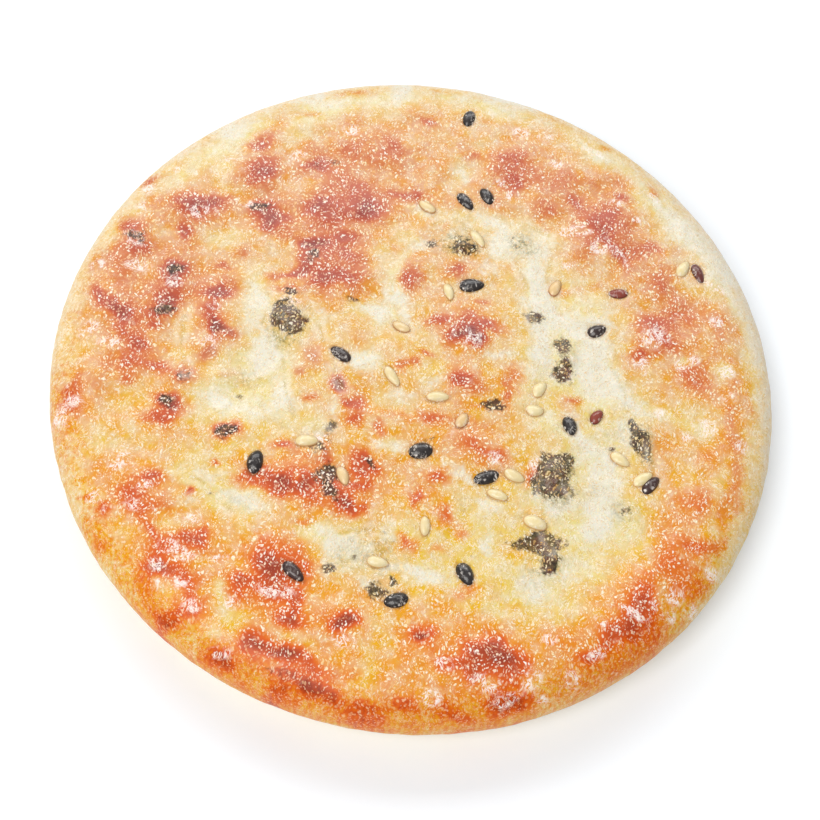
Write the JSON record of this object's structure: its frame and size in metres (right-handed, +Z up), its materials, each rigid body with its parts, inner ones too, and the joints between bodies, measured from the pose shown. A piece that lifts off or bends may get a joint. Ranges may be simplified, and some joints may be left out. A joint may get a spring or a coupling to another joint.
{
  "type": "hotteok",
  "caption": "Round filled flatbread, pan-fried golden brown on both faces, with a pale round edge and sesame seeds and filling half sunk in the crust.",
  "frame": {"origin": "middle of the flat underside", "axes": "+Z up out of the browned top, +X and +Y across the disc"},
  "size_m": [0.1041, 0.1039, 0.0136],
  "materials": {
    "crust": "oily, finely blistered, pan-fried dough, toasted in patches from cream to dark red-brown",
    "black_sesame": "smooth oily black sesame seed",
    "pale_sesame": "smooth oily ivory sesame seed, toasted darker at one end"
  },
  "bodies": {
    "root": {"hotteok": "crust"}
  },
  "joints": []
}
